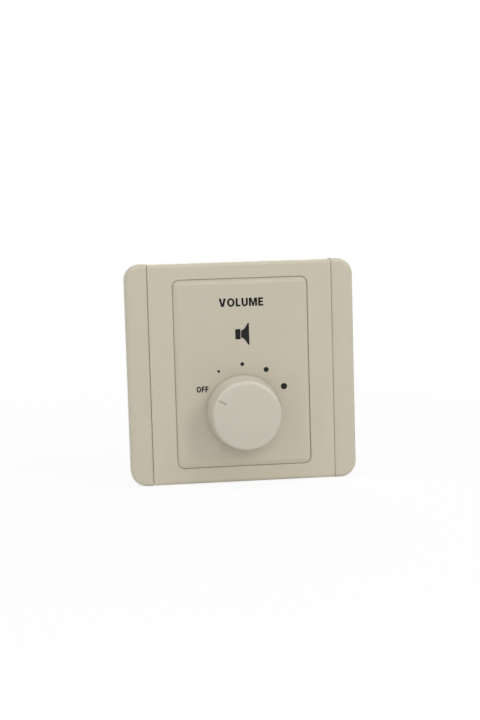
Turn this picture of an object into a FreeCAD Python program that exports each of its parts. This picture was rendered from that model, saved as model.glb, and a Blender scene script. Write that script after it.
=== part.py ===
import FreeCAD, Part
import math
import os

# Speaker volume control for a round flush box, in millimetres.
# X is to the right and Z up, seen from the front. The wall is the plane y = 0 and the front faces -Y.
V = FreeCAD.Vector

# Fits and gaps between pieces
touch_gap = 0.05
slip_gap = 0.1
drop_in_gap = 0.2
clear_gap = 0.4
tiny = 1e-4

# How far a helper body reaches beyond the piece that it cuts
past = 1.0

# Cover frame
cover_width = 85.0
cover_height = 82.0
cover_corner = 6.0
cover_wall = 2.0
band_width = 68.2
band_depth = 7.6
band_edge_round = 1.4
band_side_round = 0.4
window_edge_round = 0.25
shelf_depth = 4.4
ledge_overlap = 1.5
ledge_rim = 1.6
ledge_thickness = 1.6

# Side trims
trim_wall = 1.4
trim_groove = 0.15
trim_overhang = 0.25
trim_inner_depth = 7.1
trim_outer_depth = 6.5
trim_edge_round = 1.8
trim_foot_gap = 0.2
peg_radius = 1.5
peg_boss_radius = 2.4
peg_offset = 28.0
peg_reach = 2.8

# Centre plate
insert_width = 50.0
insert_height = 70.0
insert_corner = 2.5
insert_thickness = 2.0
insert_proud = 0.4
insert_bevel = 1.8
insert_bevel_drop = 0.8
insert_rim = 1.5
insert_rim_reach = 1.5
rib_thickness = 1.2
rib_offset = 13.0

# Dial: place, angles seen from the front with 0 to the right and counter-clockwise positive
dial_z = -14.5
detent_step = 30.0
detents_per_turn = 12
steps_above_off = 4
off_angle = 150.0

# Knob
knob_radius = 13.8
knob_taper = 1.2
knob_height = 12.0
knob_dome = 0.7
knob_edge_round = 1.4
knob_wall = 1.7
knob_roof = 2.2
knob_cavity_round = 1.2
knob_hub_radius = 5.0
knob_hub_clearance = 1.0
knob_rib_count = 6
knob_rib_thickness = 1.0
knob_rib_clearance = 1.6
knob_base_gap = 0.5
index_width = 0.7
index_depth = 0.9
index_length = 5.0
clip_thickness = 0.3
clip_half_width = 1.9
clip_lip = 2.2

# Shaft
shaft_radius = 3.0
shaft_flat = 1.5
shaft_flat_length = 7.1
shaft_end_bevel = 0.4
shaft_collar_radius = 4.2
shaft_collar_thickness = 0.8
shaft_rear_flat = 2.2
shaft_tail = 1.4
shaft_roof_gap = 0.5
e_clip_radius = 4.6
e_clip_thickness = 0.6
e_clip_mouth = 3.4
e_groove_radius = 2.1

# Bushing, nuts and washers
bushing_radius = 4.9
bushing_bevel = 0.5
thread_pitch = 0.75
thread_depth = 0.3
nut_flats = 14.0
nut_sides = 6
nut_bevel = 0.5
centre_nut_height = 2.2
switch_nut_height = 2.0
washer_radius = 8.4
centre_washer_thickness = 0.5
lock_washer_radius = 7.6
lock_washer_thickness = 0.5
lock_tooth_count = 8
lock_tooth_depth = 1.3
lock_gap_share = 0.25

# Mounting plate
plate_side = 71.0
plate_corner = 3.0
sheet = 1.2
plate_raise = 2.2
plate_bend = 0.8
opening_radius = 29.8
opening_half_width = 23.3
opening_corner = 3.0
box_screw_spacing = 60.0
box_slot_radius = 1.8
box_slot_length = 7.0
corner_hole_radius = 1.6
corner_hole_offset = 30.0

# Switch
cup_radius = 13.0
cup_wall = 1.2
cup_front = 1.4
ear_reach = 15.2
ear_radius = 2.7
key_radius = 1.2
key_offset = 10.6
wheel_radius = 8.6
wheel_thickness = 2.6
notch_radius = 1.45
notch_centre = 9.35
stop_tab_reach = 11.3
stop_tab_angle = 24.0
stop_lug_inner = 9.7
stop_lug_angle = 14.0
stop_slack_angle = 0.6
spring_thickness = 0.3
spring_width = 2.0
rotor_radius = 9.4
rotor_thickness = 2.2
contact_thickness = 0.4
contact_rise = 0.75
contact_dimple = 0.6
contact_ring_inner = 4.2
contact_ring_outer = 6.2
contact_arm_width = 2.4
common_radius = 5.2
position_radius = 8.4
pad_thickness = 0.2
pad_radius = 1.1
pin_circle = 11.0
pin_radius = 0.35
pin_strip_width = 1.1
pin_stub = 0.8
common_angle = 180.0
wafer_thickness = 1.6
wafer_hole_radius = 3.6
spacer_length = 3.0
spacer_radius = 2.2
screw_radius = 0.95
screw_bite = 4.8
screw_head_radius = 1.9
screw_head_height = 1.3
slot_width = 0.5
slot_depth = 0.6

# Circuit board and terminals
board_thickness = 1.6
board_half_width = 18.0
board_below = 11.0
board_above = 15.3
board_chamfer = 6.0
solder_radius = 0.9
solder_tip_radius = 0.5
solder_height = 0.7
terminal_ways = 4
terminal_pitch = 5.0
terminal_height = 8.2
terminal_length = 10.0
terminal_bevel = 1.0
terminal_drop = 6.0
clamp_width = 3.3
clamp_height = 5.0
clamp_length = 5.4
clamp_roof = 3.2
wire_radius = 1.6
wire_set_back = 2.0
terminal_screw_radius = 1.2
terminal_screw_head = 1.6
terminal_screw_head_height = 1.5
terminal_screw_sunk = 1.2

# Transformer
core_leg_width = 5.0
core_legs_across = 6
core_legs_deep = 5
core_stack_height = 12.0
core_z = 14.5
core_hole_radius = 1.4
bobbin_wall = 0.8
bobbin_gap = 0.1
bobbin_flange_height = 21.2
winding_round = 2.0
tape_thickness = 0.3
rail_depth = 4.5
rail_height = 3.0
bobbin_pin_pitch = 4.0
bobbin_pin_length = 2.0
bobbin_pin_root = 1.5
strap_sheet = 0.8
strap_width = 8.0
strap_foot = 6.4
strap_bend = 1.2
rivet_radius = 1.25
rivet_head_radius = 2.1
rivet_head_height = 0.8
lead_radius = 0.6
lead_straight = 0.5
lead_hole_inset = 1.9
lead_end = 1.2

# Depths that follow, front to back
insert_front = -(band_depth + insert_proud)
insert_back = insert_front + insert_thickness
insert_rim_back = insert_back + insert_rim_reach
ledge_back = insert_back + ledge_thickness
floor_front = -(sheet + plate_raise)
floor_back = -plate_raise
centre_washer_front = insert_front - centre_washer_thickness
centre_nut_front = centre_washer_front - centre_nut_height
bushing_front = centre_nut_front - bushing_bevel
knob_base = insert_front - knob_base_gap
knob_front = knob_base - knob_height
knob_roof_inside = knob_front + knob_roof
shaft_front = knob_roof_inside + shaft_roof_gap
shaft_flat_end = shaft_front + shaft_flat_length
hub_end = bushing_front - knob_hub_clearance
cup_floor = floor_back + cup_front
collar_back = cup_floor + touch_gap + shaft_collar_thickness
wheel_front = collar_back + touch_gap
wheel_back = wheel_front + wheel_thickness
rotor_front = wheel_back + slip_gap
rotor_back = rotor_front + rotor_thickness
dimple_tip = rotor_back + contact_thickness + contact_rise
pad_front = dimple_tip + touch_gap
wafer_front = pad_front + pad_thickness
wafer_back = wafer_front + wafer_thickness
e_clip_front = wafer_back + drop_in_gap
shaft_back = e_clip_front + e_clip_thickness + shaft_tail
board_front = wafer_back + spacer_length
board_back = board_front + board_thickness
core_back = floor_back + core_legs_deep * core_leg_width

# Sizes that follow, across
cover_half_width = cover_width / 2
cover_half_height = cover_height / 2
band_half_width = band_width / 2
trim_half_height = cover_half_height + trim_overhang
trim_inner_x = band_half_width + trim_groove
shelf_half_width = cover_half_width - trim_wall - slip_gap
shelf_half_height = trim_half_height - trim_wall - slip_gap
shelf_corner = cover_corner - trim_wall - slip_gap
peg_x = (trim_inner_x + shelf_half_width - cover_wall) / 2
window_width = insert_width + 2 * slip_gap
window_height = insert_height + 2 * slip_gap
window_corner = insert_corner + slip_gap
ledge_inner_width = window_width - 2 * ledge_overlap
ledge_inner_height = window_height - 2 * ledge_overlap
insert_rim_width = ledge_inner_width - 2 * drop_in_gap
insert_rim_height = ledge_inner_height - 2 * drop_in_gap
nut_bore = bushing_radius + slip_gap
nut_corner_radius = nut_flats / 2 / math.cos(math.pi / nut_sides)
boss_inner = nut_corner_radius + 2 * clear_gap
boss_outer = boss_inner + cover_wall
knob_inner = knob_radius - knob_wall
cup_inner = cup_radius - cup_wall
spring_half_span = math.sqrt(cup_inner**2 - notch_centre**2) - slip_gap
pointer_turn = 90 - off_angle
travel = detent_step * steps_above_off
screw_hole = screw_radius + slip_gap
pin_hole = pin_radius + slip_gap
core_half_width = core_legs_across * core_leg_width / 2
window_front = floor_back + core_leg_width
window_back = core_back - core_leg_width
flange_half_width = 2 * core_leg_width - drop_in_gap
tube_half_width = core_leg_width + bobbin_gap + bobbin_wall
tube_half_height = core_stack_height / 2 + bobbin_gap + bobbin_wall
coil_half_width = flange_half_width - drop_in_gap
coil_half_height = bobbin_flange_height / 2 - drop_in_gap
coil_front = window_front + bobbin_gap + bobbin_wall
coil_back = window_back - bobbin_gap - bobbin_wall
rail_top = core_z - core_stack_height / 2 - clear_gap
rail_back = window_back - bobbin_gap + rail_depth
rail_pin_z = rail_top - rail_height / 2
strap_half_width = core_half_width + touch_gap
rivet_x = strap_half_width + strap_sheet + (strap_foot - strap_sheet) / 2
terminal_z = dial_z - terminal_drop
board_top = dial_z + board_above
lead_hole_z = board_top - lead_hole_inset
lead_names = ["lead_black", "lead_white", "lead_yellow", "lead_blue", "lead_red"]
ear_places = [(-ear_reach, dial_z), (ear_reach, dial_z)]
corner_places = [(-1, -1), (-1, 1), (1, -1), (1, 1)]


def rod(radius, y0, y1, x=0.0, z=0.0):
    """A round bar along the depth, from y0 to y1."""
    return Part.makeCylinder(radius, y1 - y0, V(x, y0, z), V(0, 1, 0))


def tube(outer, inner, y0, y1, x=0.0, z=0.0):
    """A round bar with a bore right through it."""
    return rod(outer, y0, y1, x, z).cut(rod(inner, y0 - past, y1 + past, x, z))


def block(x0, x1, y0, y1, z0, z1):
    """A plain box between six planes."""
    return Part.makeBox(x1 - x0, y1 - y0, z1 - z0, V(x0, y0, z0))


def edges_along(edges, direction):
    """The straight edges of a list that run along a direction."""
    straight = [e for e in edges if isinstance(e.Curve, Part.Line)]
    return [e for e in straight if abs(e.Curve.Direction.dot(direction)) > 1 - tiny]


def edges_at_depth(body, y):
    """The edges that lie in the plane at depth y."""
    found = []
    for edge in body.Edges:
        first, last = edge.ParameterRange
        points = [edge.valueAt(first), edge.valueAt((first + last) / 2), edge.valueAt(last)]
        if all(abs(p.y - y) < tiny for p in points):
            found.append(edge)
    return found


def slab(width, height, corner, y0, y1, x=0.0, z=0.0):
    """A plate with rounded corners seen from the front, from y0 to y1."""
    body = block(x - width / 2, x + width / 2, y0, y1, z - height / 2, z + height / 2)
    return body.makeFillet(corner, edges_along(body.Edges, V(0, 1, 0)))


def front_outline(width, height, corner, y):
    """The closed outline of a rounded rectangle at depth y, about the origin."""
    body = slab(width, height, corner, y, y + past)
    return Part.Wire(Part.__sortEdges__(edges_at_depth(body, y)))


def outline_prism(points, y0, y1):
    """A prism along the depth over a closed outline of (x, z) points."""
    corners = [V(x, y0, z) for x, z in points]
    return Part.Face(Part.makePolygon(corners + corners[:1])).extrude(V(0, y1 - y0, 0))


def round_body(profile):
    """The body that a closed outline of (radius, y) points makes when it turns about the dial's axis."""
    corners = [V(r, y, dial_z) for r, y in profile]
    face = Part.Face(Part.makePolygon(corners + corners[:1]))
    return face.revolve(V(0, 0, dial_z), V(0, 1, 0), 360)


def sector(outer, inner, y0, y1, start, sweep):
    """A piece of a ring about the dial's axis, from a start angle and over a sweep."""
    body = Part.makeCylinder(outer, y1 - y0, V(0, 0, 0), V(0, 0, 1), sweep)
    body = body.cut(Part.makeCylinder(inner, y1 - y0))
    body.rotate(V(0, 0, 0), V(0, 0, 1), start)
    body.rotate(V(0, 0, 0), V(1, 0, 0), 90)
    body.translate(V(0, y1, dial_z))
    return body


def on_dial(radius, angle):
    """The (x, z) place at a radius and an angle about the dial's axis."""
    turn = math.radians(angle)
    return radius * math.cos(turn), dial_z + radius * math.sin(turn)


def turned(body, degrees):
    """The body turned clockwise about the dial's axis, seen from the front."""
    body.rotate(V(0, 0, dial_z), V(0, 1, 0), degrees)
    return body


def at_rest(body):
    """A body drawn with the pointer up, turned so that the pointer is at OFF."""
    return turned(body, pointer_turn)


def hex_nut(height, y1):
    """A hexagon nut on the bushing that ends at depth y1, with bevelled corners."""
    y0 = y1 - height
    corners = [on_dial(nut_corner_radius, 360 * (k + 0.5) / nut_sides) for k in range(nut_sides)]
    bevelled = [
        (0, y0),
        (nut_corner_radius - nut_bevel, y0),
        (nut_corner_radius, y0 + nut_bevel),
        (nut_corner_radius, y1),
        (0, y1),
    ]
    body = outline_prism(corners, y0, y1).common(round_body(bevelled))
    return body.cut(rod(nut_bore, y0 - past, y1 + past, 0, dial_z))


def slotted_head(radius, height, y0, x, z):
    """A round screw head that stands behind the plane y0, with a slot across its end."""
    head = rod(radius, y0, y0 + height, x, z)
    y1 = y0 + height
    half = slot_width / 2
    return head.cut(block(x - radius, x + radius, y1 - slot_depth, y1 + past, z - half, z + half))


def wound_frame(half_width, half_height, corner, y0, y1, inner_half_width, inner_half_height):
    """A rounded block about the transformer's middle with a square hole along the depth."""
    body = slab(2 * half_width, 2 * half_height, corner, y0, y1, 0, core_z)
    low = core_z - inner_half_height
    high = core_z + inner_half_height
    return body.cut(block(-inner_half_width, inner_half_width, y0 - past, y1 + past, low, high))


def cover_frame():
    """The front band with its window and ledge, and a low shelf at each side for the trims."""
    band = block(-band_half_width, band_half_width, -band_depth, 0, -cover_half_height, cover_half_height)
    across = edges_along(edges_at_depth(band, -band_depth), V(1, 0, 0))
    band = band.makeFillet(band_edge_round, across)
    upright = edges_along(edges_at_depth(band, -band_depth), V(0, 0, 1))
    band = band.makeFillet(band_side_round, upright)
    body = band.fuse(slab(2 * shelf_half_width, 2 * shelf_half_height, shelf_corner, -shelf_depth, 0))
    inside_x = band_half_width - cover_wall
    inside_z = cover_half_height - cover_wall
    body = body.cut(block(-inside_x, inside_x, cover_wall - band_depth, past, -inside_z, inside_z))
    side_x = 2 * (shelf_half_width - cover_wall)
    side_z = 2 * (shelf_half_height - cover_wall)
    body = body.cut(slab(side_x, side_z, shelf_corner - cover_wall, cover_wall - shelf_depth, past))
    rim_width = window_width + 2 * ledge_rim
    rim_height = window_height + 2 * ledge_rim
    body = body.fuse(slab(rim_width, rim_height, window_corner + ledge_rim, insert_back, ledge_back))
    body = body.cut(slab(window_width, window_height, window_corner, -band_depth - past, insert_back))
    inner_corner = window_corner + ledge_rim - ledge_overlap
    body = body.cut(slab(ledge_inner_width, ledge_inner_height, inner_corner, insert_back - past, past))
    for x, z in corner_places:
        body = body.cut(rod(peg_radius + slip_gap, -band_depth, 0, x * peg_x, z * peg_offset))
    body = body.removeSplitter()
    window_edges = [e for e in edges_at_depth(body, -band_depth) if in_window(e)]
    return body.makeFillet(window_edge_round, window_edges)


def in_window(edge):
    """Whether an edge of the band's face belongs to the window."""
    box = edge.BoundBox
    wide = max(abs(box.XMin), abs(box.XMax)) < window_width / 2 + tiny
    high = max(abs(box.ZMin), abs(box.ZMax)) < window_height / 2 + tiny
    return wide and high


def bowed_strip(inset, y1):
    """The right trim's rounded section over its height, drawn in from its outside by an inset."""
    drop = trim_inner_depth - trim_outer_depth
    reach = cover_half_width - trim_inner_x
    bow = (reach**2 + drop**2) / (2 * drop)
    top = trim_half_height - inset
    body = Part.makeCylinder(bow - inset, 2 * top, V(trim_inner_x, bow - trim_inner_depth, -top))
    x0 = trim_inner_x + inset
    x1 = cover_half_width - inset
    body = body.common(block(x0, x1, -trim_inner_depth, y1, -top, top))
    return body


def side_trim(side):
    """A hollow convex strip with snap pegs on one side's shelf: -1 left, 1 right."""
    outside = bowed_strip(0, -trim_foot_gap)
    y0 = -trim_inner_depth - past
    frame_outline = slab(cover_width, 2 * trim_half_height, cover_corner, y0, 0)
    outside = outside.common(frame_outline)
    rim = [e for e in outside.Edges if trim_outer_edge(e)]
    outside = outside.makeFillet(trim_edge_round, rim)
    hollow = bowed_strip(trim_wall, 0)
    inner_width = cover_width - 2 * trim_wall
    inner_height = 2 * (trim_half_height - trim_wall)
    hollow = hollow.common(slab(inner_width, inner_height, cover_corner - trim_wall, y0, 0))
    shelf_width = 2 * (shelf_half_width + slip_gap)
    shelf_height = 2 * (shelf_half_height + slip_gap)
    shelf_space = slab(shelf_width, shelf_height, shelf_corner + slip_gap, -shelf_depth, 0)
    body = outside.cut(hollow).cut(shelf_space)
    for z in (-peg_offset, peg_offset):
        boss = rod(peg_boss_radius, y0, -shelf_depth, peg_x, z)
        peg = rod(peg_radius, -shelf_depth, peg_reach - shelf_depth, peg_x, z)
        body = body.fuse(boss.common(outside)).fuse(peg)
    body = body.removeSplitter()
    if side < 0:
        body = body.mirror(V(0, 0, 0), V(1, 0, 0))
    return body


def trim_outer_edge(edge):
    """Whether an edge lies between the trim's rounded top and its outer side or ends."""
    first, last = edge.ParameterRange
    middle = edge.valueAt((first + last) / 2)
    ends = [edge.valueAt(first), edge.valueAt(last)]
    outer = abs(middle.x) > trim_inner_x + tiny
    high = max(p.y for p in ends + [middle]) < -trim_outer_depth + tiny
    return outer and high


def centre_plate():
    """The plate in the window: a bevelled front edge, a rear rim, ribs and a boss round the switch nut."""
    bevel_foot = insert_front + insert_bevel_drop
    face_width = insert_width - 2 * insert_bevel
    face_height = insert_height - 2 * insert_bevel
    foot_outline = front_outline(insert_width, insert_height, insert_corner, bevel_foot)
    face_outline = front_outline(face_width, face_height, insert_corner - insert_bevel, insert_front)
    body = slab(insert_width, insert_height, insert_corner, bevel_foot, insert_back)
    body = body.fuse(Part.makeLoft([foot_outline, face_outline], True, True))
    rim = slab(insert_rim_width, insert_rim_height, insert_corner, insert_back, insert_rim_back)
    inner_width = insert_rim_width - 2 * insert_rim
    inner_height = insert_rim_height - 2 * insert_rim
    inner_corner = insert_corner - insert_rim
    rim = rim.cut(slab(inner_width, inner_height, inner_corner, insert_back - past, insert_rim_back + past))
    body = body.fuse(rim)
    reach = insert_rim_height / 2 - insert_rim / 2
    half = rib_thickness / 2
    for x in (-rib_offset, rib_offset):
        rib = block(x - half, x + half, insert_back, insert_rim_back, -reach, reach)
        body = body.fuse(rib)
    body = body.fuse(rod(boss_outer, insert_back, floor_front, 0, dial_z))
    body = body.cut(rod(boss_inner, insert_back, floor_front + past, 0, dial_z))
    body = body.cut(rod(nut_bore, insert_front - past, insert_back + past, 0, dial_z))
    return body.removeSplitter()


def centre_washer():
    """The flat washer under the front nut."""
    return tube(washer_radius, nut_bore, centre_washer_front, insert_front, 0, dial_z)


def centre_nut():
    """The nut that holds the centre plate on the bushing."""
    return hex_nut(centre_nut_height, centre_washer_front)


def knob():
    """A hollow push-on knob: tapered wall, domed front, ribs, a D-bored hub and an index groove."""
    rim_radius = knob_radius - knob_taper
    shoulder = knob_front + knob_dome
    sphere = (rim_radius**2 + knob_dome**2) / (2 * knob_dome)
    half = rim_radius / 2
    half_way = V(half, knob_front + sphere - math.sqrt(sphere**2 - half**2), dial_z)
    rim = V(rim_radius, shoulder, dial_z)
    middle = V(0, knob_front, dial_z)
    dome = Part.Arc(rim, half_way, middle).toShape()
    rest = Part.makePolygon([middle, V(0, knob_base, dial_z), V(knob_radius, knob_base, dial_z), rim])
    face = Part.Face(Part.Wire([dome] + rest.Edges))
    body = face.revolve(V(0, 0, dial_z), V(0, 1, 0), 360)
    body = body.makeFillet(knob_edge_round, edges_at_depth(body, shoulder))
    roof_radius = rim_radius - knob_wall
    hollow = round_body(
        [(0, knob_base + past), (knob_inner, knob_base + past), (knob_inner, knob_base),
         (roof_radius, knob_roof_inside), (0, knob_roof_inside)]
    )
    hollow = hollow.makeFillet(knob_cavity_round, edges_at_depth(hollow, knob_roof_inside))
    inside = hollow.copy()
    body = body.cut(hollow)
    body = body.fuse(rod(knob_hub_radius, knob_roof_inside - tiny, hub_end, 0, dial_z))
    rib_end = hub_end - knob_rib_clearance
    for k in range(knob_rib_count):
        half = knob_rib_thickness / 2
        rib = block(-half, half, knob_roof_inside - tiny, rib_end, dial_z, dial_z + knob_radius)
        rib = turned(rib, 360 * (k + 0.5) / knob_rib_count).common(inside)
        body = body.fuse(rib)
    bore = rod(shaft_radius + touch_gap, knob_roof_inside, 0, 0, dial_z)
    flat = dial_z - shaft_flat - clip_thickness - 2 * touch_gap
    wide = 2 * shaft_radius
    bore = bore.cut(block(-wide, wide, knob_roof_inside - past, past, flat - wide, flat))
    body = body.cut(bore)
    half = index_width / 2
    mark = block(-half, half, knob_front - past, knob_front + index_depth, dial_z, dial_z + knob_radius)
    inner_end = rod(knob_radius - index_length, knob_front - past, knob_front + knob_roof, 0, dial_z)
    return at_rest(body.cut(mark.cut(inner_end)).removeSplitter())


def knob_clip():
    """The spring strip between the hub and the shaft's flat, with a lip over the hub's end."""
    top = dial_z - shaft_flat - touch_gap
    low = top - clip_thickness
    y0 = knob_roof_inside + touch_gap
    y1 = hub_end + touch_gap
    strip = block(-clip_half_width, clip_half_width, y0, y1 + clip_thickness, low, top)
    lip = block(-clip_half_width, clip_half_width, y1, y1 + clip_thickness, low - clip_lip, low)
    return at_rest(strip.fuse(lip).removeSplitter())


def switch_shaft():
    """The shaft: a D at the front for the knob, a thrust collar, two flats behind it and a clip groove."""
    bevel = shaft_end_bevel
    body = round_body(
        [(0, shaft_front), (shaft_radius - bevel, shaft_front), (shaft_radius, shaft_front + bevel),
         (shaft_radius, shaft_back - bevel), (shaft_radius - bevel, shaft_back), (0, shaft_back)]
    )
    body = body.fuse(rod(shaft_collar_radius, cup_floor + touch_gap, collar_back, 0, dial_z))
    far = 2 * shaft_radius
    low = dial_z - shaft_flat
    body = body.cut(block(-far, far, shaft_front - past, shaft_flat_end, low - far, low))
    for side in (-1, 1):
        x0, x1 = sorted((side * shaft_rear_flat, side * 2 * far))
        body = body.cut(block(x0, x1, collar_back, shaft_back + past, dial_z - far, dial_z + far))
    groove_back = e_clip_front + e_clip_thickness + touch_gap
    groove = tube(2 * far, e_groove_radius, e_clip_front - touch_gap, groove_back, 0, dial_z)
    return at_rest(body.cut(groove).removeSplitter())


def flatted_bore(y0, y1):
    """The bore that fits the shaft's rear part with its two flats."""
    half = shaft_rear_flat + touch_gap
    far = 2 * shaft_radius
    bore = rod(shaft_radius + touch_gap, y0 - past, y1 + past, 0, dial_z)
    return bore.common(block(-half, half, y0 - past, y1 + past, dial_z - far, dial_z + far))


def shaft_clip():
    """The open ring in the shaft's groove behind the wafer."""
    bore = e_groove_radius + touch_gap
    body = tube(e_clip_radius, bore, e_clip_front, e_clip_front + e_clip_thickness, 0, dial_z)
    half = e_clip_mouth / 2
    mouth = block(-half, half, e_clip_front - past, shaft_back, dial_z - 2 * e_clip_radius, dial_z)
    return at_rest(body.cut(mouth))


def detent_wheel():
    """The notched wheel on the shaft, with the stop tab opposite the pointer."""
    body = rod(wheel_radius, wheel_front, wheel_back, 0, dial_z)
    tab_start = 270 - stop_tab_angle / 2
    inner = (shaft_radius + wheel_radius) / 2
    tab = sector(stop_tab_reach, inner, wheel_front, wheel_back, tab_start, stop_tab_angle)
    body = body.fuse(tab)
    for k in range(detents_per_turn):
        if 2 * k != detents_per_turn:
            x, z = on_dial(notch_centre, 90 + 360 * k / detents_per_turn)
            body = body.cut(rod(notch_radius, wheel_front - past, wheel_back + past, x, z))
    return at_rest(body.cut(flatted_bore(wheel_front, wheel_back)).removeSplitter())


def detent_spring():
    """The leaf spring across the cup above the wheel, with a round bump in the top notch."""
    y0 = wheel_front + (wheel_thickness - spring_width) / 2
    y1 = y0 + spring_width
    z = dial_z + notch_centre
    outer = notch_radius - slip_gap
    bump = tube(outer, outer - spring_thickness, y0, y1, 0, z)
    bump = bump.common(block(-outer, outer, y0 - past, y1 + past, z - outer, z))
    body = bump
    root = outer - spring_thickness
    for x0, x1 in ((-spring_half_span, -root), (root, spring_half_span)):
        body = body.fuse(block(x0, x1, y0, y1, z - spring_thickness, z))
    return body.removeSplitter()


def switch_outline(y0, y1):
    """The round cup's outline with an ear at each side."""
    body = rod(cup_radius, y0, y1, 0, dial_z)
    arm = block(-ear_reach, ear_reach, y0, y1, dial_z - ear_radius, dial_z + ear_radius)
    body = body.fuse(arm)
    for x, z in ear_places:
        body = body.fuse(rod(ear_radius, y0, y1, x, z))
    return body.removeSplitter()


def switch_housing():
    """The cast cup with ears, a threaded bushing, a key for the plate and two stops for the tab."""
    body = switch_outline(floor_back, wafer_front)
    body = body.cut(rod(cup_inner, cup_floor, wafer_front + past, 0, dial_z))
    root = bushing_radius - thread_depth
    profile = [(0, floor_back + past), (root, floor_back + past), (root, floor_back)]
    turns = int((floor_back - bushing_front - bushing_bevel) / thread_pitch)
    for k in range(turns):
        crest = floor_back - (k + 0.5) * thread_pitch
        profile += [(bushing_radius, crest), (root, crest - thread_pitch / 2)]
    profile += [(root, bushing_front), (0, bushing_front)]
    body = body.fuse(round_body(profile))
    key_x, key_z = on_dial(key_offset, 270)
    body = body.fuse(rod(key_radius, floor_front + touch_gap, floor_back + past, key_x, key_z))
    body = body.cut(rod(shaft_radius + touch_gap, bushing_front - past, cup_floor + past, 0, dial_z))
    half_tab = stop_tab_angle / 2 + stop_slack_angle
    rest = off_angle + 180
    outer = cup_inner + slip_gap
    for start in (rest + half_tab, rest - travel - half_tab - stop_lug_angle):
        lug = sector(outer, stop_lug_inner, cup_floor - tiny, wheel_back, start, stop_lug_angle)
        body = body.fuse(lug)
    for x, z in ear_places:
        body = body.cut(rod(screw_hole, wafer_front - screw_bite, wafer_front + past, x, z))
    return body.removeSplitter()


def switch_lock_washer():
    """The toothed washer between the plate and the rear nut."""
    y0 = floor_front - lock_washer_thickness
    body = tube(lock_washer_radius, nut_bore, y0, floor_front, 0, dial_z)
    outer = lock_washer_radius + past
    inner = lock_washer_radius - lock_tooth_depth
    pitch = 360 / lock_tooth_count
    for k in range(lock_tooth_count):
        gap = sector(outer, inner, y0 - past, floor_front + past, k * pitch, lock_gap_share * pitch)
        body = body.cut(gap)
    return body


def switch_nut():
    """The nut that holds the switch on the mounting plate."""
    return hex_nut(switch_nut_height, floor_front - lock_washer_thickness)


def opening_outline(grow, y0, y1):
    """The round opening with a flat at each side, made larger by a margin."""
    radius = opening_radius + grow
    half = opening_half_width + grow
    body = rod(radius, y0, y1).common(block(-half, half, y0, y1, -radius, radius))
    return body.makeFillet(opening_corner + grow, edges_along(body.Edges, V(0, 1, 0)))


def mounting_plate():
    """The pressed steel plate: a flat ring on the wall and a raised floor that carries the works."""
    raised = opening_outline(sheet, floor_front, 0)
    raised = raised.makeFillet(plate_bend, edges_at_depth(raised, floor_front))
    body = slab(plate_side, plate_side, plate_corner, -sheet, 0).fuse(raised)
    body = body.cut(opening_outline(0, floor_back, past))
    run = box_slot_length / 2 - box_slot_radius
    for side in (-1, 1):
        x = side * box_screw_spacing / 2
        body = body.cut(block(x - run, x + run, -sheet - past, past, -box_slot_radius, box_slot_radius))
        for end in (-run, run):
            body = body.cut(rod(box_slot_radius, -sheet - past, past, x + end, 0))
        body = body.cut(rod(rivet_radius, floor_front - past, past, side * rivet_x, core_z))
    for x, z in corner_places:
        hole = rod(corner_hole_radius, -sheet - past, past, x * corner_hole_offset, z * corner_hole_offset)
        body = body.cut(hole)
    body = body.cut(rod(nut_bore, floor_front - past, past, 0, dial_z))
    key_x, key_z = on_dial(key_offset, 270)
    body = body.cut(rod(key_radius + slip_gap, floor_front - past, past, key_x, key_z))
    return body.removeSplitter()


def rotor():
    """The moulded disc that carries the contact."""
    body = rod(rotor_radius, rotor_front, rotor_back, 0, dial_z)
    return at_rest(body.cut(flatted_bore(rotor_front, rotor_back)))


def rotor_contact():
    """The contact on the rotor: a ring and an arm, each with a dimple that rubs on the wafer."""
    y1 = rotor_back + contact_thickness
    half = contact_arm_width / 2
    reach = dial_z + position_radius + contact_dimple + touch_gap
    body = rod(contact_ring_outer, rotor_back, y1, 0, dial_z)
    body = body.fuse(block(-half, half, rotor_back, y1, dial_z, reach))
    body = body.cut(rod(contact_ring_inner, rotor_back - past, y1 + past, 0, dial_z))
    for radius in (-common_radius, common_radius, position_radius):
        body = body.fuse(rod(contact_dimple, rotor_back, dimple_tip, 0, dial_z + radius))
    return at_rest(body.removeSplitter())


def pin_angles():
    """The angles of the position pins, from OFF clockwise to full volume."""
    return [off_angle - k * detent_step for k in range(steps_above_off + 1)]


def stator_contacts():
    """One common ring and one pad for each position, each with a strip to a pin that reaches the board."""
    bodies = []
    half = pin_strip_width / 2
    pin_end = board_back + pin_stub
    for angle in pin_angles() + [common_angle]:
        start = common_radius if angle == common_angle else position_radius
        strip = block(-half, half, pad_front, wafer_front, dial_z + start, dial_z + pin_circle + half)
        pin = rod(pin_radius, pad_front, pin_end, 0, dial_z + pin_circle)
        body = turned(strip.fuse(pin), 90 - angle)
        if angle == common_angle:
            body = body.fuse(rod(contact_ring_outer, pad_front, wafer_front, 0, dial_z))
            body = body.cut(rod(contact_ring_inner, pad_front - past, wafer_front + past, 0, dial_z))
        else:
            x, z = on_dial(position_radius, angle)
            body = body.fuse(rod(pad_radius, pad_front, wafer_front, x, z))
        bodies.append(body.removeSplitter())
    return Part.makeCompound(bodies)


def pin_places():
    """The (x, z) places of the switch pins."""
    return [on_dial(pin_circle, angle) for angle in pin_angles() + [common_angle]]


def stator_wafer():
    """The insulating wafer that closes the cup, with the ears' screw holes."""
    body = switch_outline(wafer_front, wafer_back)
    body = body.cut(rod(wafer_hole_radius, wafer_front - past, wafer_back + past, 0, dial_z))
    for x, z in ear_places:
        body = body.cut(rod(screw_hole, wafer_front - past, wafer_back + past, x, z))
    for x, z in pin_places():
        body = body.cut(rod(pin_hole, wafer_front - past, wafer_back + past, x, z))
    return body


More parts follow.
